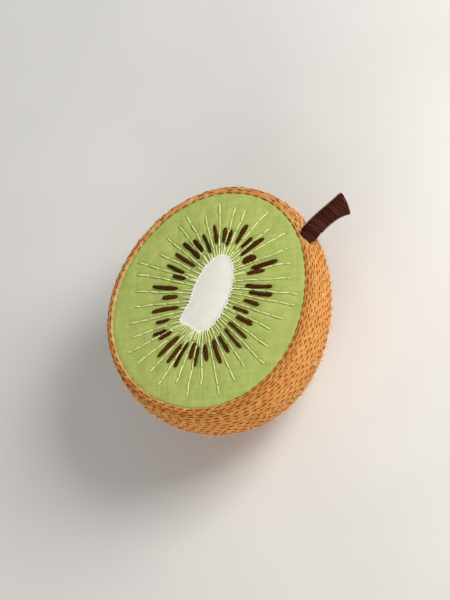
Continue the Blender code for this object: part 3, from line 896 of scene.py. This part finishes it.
class Surface:
    """A node material with short calls for the nodes that these materials use."""

    def __init__(self, name, roughness, sheen=0.0, sheen_tint=(1, 1, 1, 1), specular=0.2):
        self.made = bpy.data.materials.new(name)
        self.made.use_nodes = True
        self.tree = self.made.node_tree
        self.shader = self.tree.nodes["Principled BSDF"]
        self.shader.inputs["Roughness"].default_value = roughness
        self.shader.inputs["Specular IOR Level"].default_value = specular
        self.shader.inputs["Sheen Weight"].default_value = sheen
        self.shader.inputs["Sheen Roughness"].default_value = 0.4
        self.shader.inputs["Sheen Tint"].default_value = sheen_tint

    def link(self, source, target):
        self.tree.links.new(source, target)

    def mark(self, name):
        node = self.tree.nodes.new("ShaderNodeAttribute")
        node.attribute_name = name
        return node.outputs["Fac"]

    def place(self, scale=(1, 1, 1), turn=0.0):
        """The object's own coordinates in millimetres, turned and then scaled."""
        node = self.tree.nodes.new("ShaderNodeTexCoord")
        mapping = self.tree.nodes.new("ShaderNodeMapping")
        mapping.vector_type = "TEXTURE"
        mapping.inputs["Scale"].default_value = [0.001 / value for value in scale]
        mapping.inputs["Rotation"].default_value = (0, 0, turn)
        self.link(node.outputs["Object"], mapping.inputs["Vector"])
        return mapping.outputs["Vector"]

    def noise(self, scale, detail=2.0, place=None):
        node = self.tree.nodes.new("ShaderNodeTexNoise")
        node.inputs["Scale"].default_value = scale
        node.inputs["Detail"].default_value = detail
        self.link(place or self.place(), node.inputs["Vector"])
        return node.outputs["Fac"]

    def wave(self, scale, place, distortion=0.0):
        node = self.tree.nodes.new("ShaderNodeTexWave")
        node.wave_profile = "SIN"
        node.inputs["Scale"].default_value = scale
        node.inputs["Distortion"].default_value = distortion
        node.inputs["Detail Scale"].default_value = 2.0
        self.link(place, node.inputs["Vector"])
        return node.outputs["Fac"]

    def math(self, operation, first, second=None):
        node = self.tree.nodes.new("ShaderNodeMath")
        node.operation = operation
        for socket, value in zip(node.inputs, (first, second)):
            if value is None:
                continue
            if isinstance(value, (int, float)):
                socket.default_value = value
            else:
                self.link(value, socket)
        return node.outputs["Value"]

    def ramp(self, factor, *stops):
        node = self.tree.nodes.new("ShaderNodeValToRGB")
        stones = node.color_ramp.elements
        while len(stones) < len(stops):
            stones.new(0.5)
        for stone, (position, colour) in zip(stones, stops):
            stone.position = position
            stone.color = colour
        self.link(factor, node.inputs["Fac"])
        return node.outputs["Color"]

    def mix(self, factor, first, second):
        node = self.tree.nodes.new("ShaderNodeMix")
        node.data_type = "RGBA"
        for socket, value in ((node.inputs[0], factor), (node.inputs[6], first), (node.inputs[7], second)):
            if isinstance(value, (int, float, tuple)):
                socket.default_value = value
            else:
                self.link(value, socket)
        return node.outputs[2]

    def colour(self, source):
        self.link(source, self.shader.inputs["Base Color"])

    def bump(self, height, distance, strength=1.0):
        node = self.tree.nodes.new("ShaderNodeBump")
        node.inputs["Strength"].default_value = strength
        node.inputs["Distance"].default_value = distance
        self.link(height, node.inputs["Height"])
        self.link(node.outputs["Normal"], self.shader.inputs["Normal"])

    def strands(self, number, twist):
        """Height of the plies of a thread: bands across it that turn slowly as they run along it."""
        band = self.math("MULTIPLY", self.mark("across"), number * math.pi)
        turned = self.math("ADD", band, self.math("MULTIPLY", self.mark("run"), twist))
        return self.math("SINE", turned)

    def fibres(self, scale):
        """Fine streaks that run along each thread."""
        along = self.tree.nodes.new("ShaderNodeCombineXYZ")
        for axis, name, stretch in (("X", "across", 2.0), ("Y", "run", 0.4), ("Z", "tone", 50.0)):
            self.link(self.math("MULTIPLY", self.mark(name), stretch), along.inputs[axis])
        return self.noise(scale, 3.0, along.outputs["Vector"])

    def weave(self, pitch):
        """Height of a plain weave of two crossing sets of threads."""
        warp = self.wave(0.5 / pitch, self.place(turn=WEAVE_TURN), 0.4)
        weft = self.wave(0.5 / pitch, self.place(turn=WEAVE_TURN + math.pi / 2), 0.4)
        return self.math("MULTIPLY", warp, weft)


def skin_material():
    made = Surface("skin_thread", 0.8, 0.15, srgb(255, 225, 180))
    streaks = made.fibres(2.0)
    mottle = made.mix(0.5, made.noise(0.5), streaks)
    own_tone = made.math("MULTIPLY", made.mark("tone"), 0.4)
    tone = made.math("ADD", own_tone, made.math("MULTIPLY", mottle, 0.6))
    colour = made.ramp(tone, (0.15, srgb(224, 148, 69)), (0.5, srgb(235, 162, 81)),
                       (0.75, srgb(240, 174, 94)), (0.88, srgb(243, 188, 112)), (1.0, srgb(243, 208, 134)))
    plies = made.strands(5, 2.2)
    # Painted shade: the thread's colour is mixed a quarter of the way to dark rust in bands that follow its
    # plies.
    grooves = made.math("MULTIPLY", made.math("ADD", plies, 1.0), 0.5)
    made.colour(made.mix(grooves, colour, made.mix(0.25, colour, srgb(160, 86, 12))))
    made.bump(made.math("ADD", plies, made.math("MULTIPLY", streaks, 2.0)), 0.00007)
    return made.made


def fleck_material():
    made = Surface("rust_thread", 0.9, specular=0.05)
    made.colour(made.ramp(made.mark("tone"), (0, srgb(124, 52, 2)), (1, srgb(158, 74, 5))))
    return made.made


def base_material():
    made = Surface("backing_cloth", 0.95)
    made.colour(made.ramp(made.noise(1.5), (0.3, srgb(150, 80, 16)), (0.7, srgb(178, 100, 26))))
    made.bump(made.weave(0.4), 0.0001)
    return made.made


def fuzz_material():
    made = Surface("fuzz", 0.9, specular=0.05)
    made.colour(made.ramp(made.mark("tone"), (0, srgb(232, 170, 98)), (1, srgb(248, 204, 144))))
    return made.made


def cloth_material():
    made = Surface("green_cloth", 0.9, 0.15)
    patches = made.noise(0.35, 3.0)
    colour = made.ramp(patches, (0.3, srgb(155, 165, 82)), (0.5, srgb(164, 174, 93)),
                       (0.7, srgb(173, 181, 103)))
    fine = made.noise(2.2, 3.0)
    colour = made.mix(made.math("MULTIPLY", fine, 0.4), colour, srgb(146, 168, 74))
    slubs = made.math("ADD", made.noise(1.4, 2.0, made.place((1, 0.08, 1), WEAVE_TURN)),
                      made.noise(1.4, 2.0, made.place((0.08, 1, 1), WEAVE_TURN)))
    slubs = made.math("MULTIPLY", made.math("SUBTRACT", slubs, 0.8), 0.65)
    colour = made.mix(slubs, colour, srgb(192, 200, 122))
    # Painted shade: the cloth's colour is mixed towards olive green close to the rays and seeds, following
    # the near mark.
    shade = made.math("MULTIPLY", made.mark("near"), 0.2)
    made.colour(made.mix(shade, colour, srgb(134, 156, 62)))
    made.bump(made.weave(0.34), 0.00005)
    return made.made


def ray_material():
    made = Surface("ray_thread", 0.7, 0.2)
    made.colour(made.ramp(made.mark("tone"), (0, srgb(219, 226, 144)), (1, srgb(236, 241, 168))))
    made.bump(made.strands(2, 6.0), 0.00004)
    return made.made


def seed_material():
    made = Surface("seed_thread", 0.8, specular=0.08)
    made.colour(made.ramp(made.mark("tone"), (0, srgb(54, 32, 4)), (1, srgb(76, 45, 8))))
    made.bump(made.math("SINE", made.math("MULTIPLY", made.mark("run"), 9.0)), 0.00005)
    return made.made


def core_material():
    made = Surface("white_cloth", 0.9, 0.2)
    made.colour(made.ramp(made.noise(0.6, 3.0), (0.3, srgb(223, 220, 209)), (0.7, srgb(227, 224, 214))))
    made.bump(made.weave(0.36), 0.00006)
    return made.made


def fringe_material():
    made = Surface("white_thread", 0.8, 0.2)
    made.colour(made.ramp(made.mark("tone"), (0, srgb(226, 226, 206)), (1, srgb(238, 236, 224))))
    made.bump(made.strands(2, 6.0), 0.00003)
    return made.made


def stem_material():
    made = Surface("stem_thread", 0.8, specular=0.05)
    colour = made.ramp(made.mark("tone"), (0, srgb(74, 37, 26)), (1, srgb(104, 59, 44)))
    # Painted shade: the thread is mixed towards near-black between the satin stitches, by the groove mark.
    made.colour(made.mix(made.mark("groove"), colour, srgb(14, 4, 2)))
    made.bump(made.noise(3.0, 3.0), 0.00004)
    return made.made


def edging_material():
    made = Surface("edging_thread", 0.7, 0.2)
    made.colour(made.ramp(made.noise(1.0), (0.3, srgb(104, 82, 68)), (0.7, srgb(128, 106, 90))))
    made.bump(made.strands(2, 5.0), 0.00004)
    return made.made


def floor_material():
    made = Surface("floor", 0.85)
    made.colour(made.ramp(made.noise(0.02), (0.3, srgb(212, 210, 206)), (0.7, srgb(218, 216, 212))))
    return made.made


# Stage, lights and camera

def add_floor():
    points = [(x * FLOOR_HALF, y * FLOOR_HALF, 0) for x, y in ((-1, -1), (1, -1), (1, 1), (-1, 1))]
    mesh = bpy.data.meshes.new("floor")
    mesh.from_pydata(points, [], [(0, 1, 2, 3)])
    mesh.materials.append(floor_material())
    floor = bpy.data.objects.new("floor", mesh)
    bpy.context.collection.objects.link(floor)


def view_axes():
    """Right, up and back directions of the photo's camera."""
    flat = Vector((0, math.sin(CAMERA_ELEVATION), math.cos(CAMERA_ELEVATION)))
    side = Vector((1, 0, 0))
    right = side * math.cos(CAMERA_ROLL) - flat * math.sin(CAMERA_ROLL)
    up = side * math.sin(CAMERA_ROLL) + flat * math.cos(CAMERA_ROLL)
    return right, up, right.cross(up)


def placed(right, up, back, at):
    made = Matrix((right, up, back)).transposed().to_4x4()
    made.translation = at
    return made


def add_camera():
    right, up, back = view_axes()
    data = bpy.data.cameras.new("camera")
    data.lens = CAMERA_LENS
    data.sensor_width = SENSOR_SIZE
    camera = bpy.data.objects.new("camera", data)
    bpy.context.collection.objects.link(camera)
    distance = FRAME_HEIGHT * CAMERA_LENS / SENSOR_SIZE
    aim = Vector((0, 0, CUT_HEIGHT)) + right * AIM_RIGHT
    camera.matrix_world = placed(right, up, back, aim + back * distance)
    bpy.context.scene.camera = camera


def add_light(name, direction, distance, size, power, colour):
    data = bpy.data.lights.new(name, "AREA")
    data.size = size
    data.energy = power
    data.color = colour
    light = bpy.data.objects.new(name, data)
    bpy.context.collection.objects.link(light)
    back = direction.normalized()
    side = Vector((0, 0, 1)).cross(back).normalized()
    at = Vector((0, 0, CUT_HEIGHT)) + back * distance
    light.matrix_world = placed(side, back.cross(side), back, at)


def add_lights():
    right, up, back = view_axes()
    for name, (direction, *settings) in LIGHTS.items():
        add_light(name, right * direction[0] + up * direction[1] + back * direction[2], *settings)
    world = bpy.data.worlds.new("world")
    world.use_nodes = True
    sky = world.node_tree.nodes["Background"]
    sky.inputs["Color"].default_value = SKY_COLOUR
    sky.inputs["Strength"].default_value = SKY_STRENGTH
    bpy.context.scene.world = world
    bpy.context.scene.view_settings.view_transform = "Standard"


def main():
    seeds = seed_marks()
    rays = ray_marks(seeds)
    stitches = face_threads(seeds, rays)
    add_cover_base(base_material())
    add_cover_threads(skin_material(), fleck_material())
    add_fuzz(fuzz_material())
    add_face_cloth(stitches, seeds, cloth_material())
    add_rays(stitches, ray_material())
    add_seeds(seeds, seed_material())
    add_core(core_material())
    add_core_fringe(fringe_material())
    add_stem_wrap(stem_material())
    add_stem_edging(edging_material())
    add_floor()
    add_camera()
    add_lights()


main()
